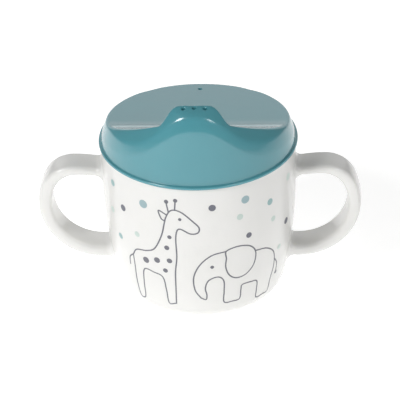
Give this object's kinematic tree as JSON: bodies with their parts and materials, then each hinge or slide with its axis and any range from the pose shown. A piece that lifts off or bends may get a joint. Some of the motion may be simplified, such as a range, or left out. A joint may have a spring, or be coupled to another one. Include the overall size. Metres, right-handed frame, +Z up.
{
  "type": "sippy cup",
  "caption": "Toddler training cup with a loop handle on each side and a press-in lid with an upright flat spout.",
  "frame": {"origin": "centre of the cup's base, on the surface that the cup stands on", "axes": "+Z up, +X along the two handles, -Y towards the side of the lid that carries the spout"},
  "size_m": [0.135, 0.082, 0.1003],
  "materials": {
    "cup_plastic": "smooth glossy warm-white moulded plastic",
    "lid_plastic": "satin grey-teal moulded polypropylene",
    "print_ink": "thin printed line work and dots on the cup's side"
  },
  "bodies": {
    "cup": {"cup_body": "cup_plastic", "handle_left": "cup_plastic", "handle_right": "cup_plastic"},
    "lid": {"lid": "lid_plastic"}
  },
  "joints": [
    {"name": "lid_lift", "type": "slide", "parent": "cup", "child": "lid", "axis": [0, 0, 1], "range_m": [0, 0.03]}
  ]
}
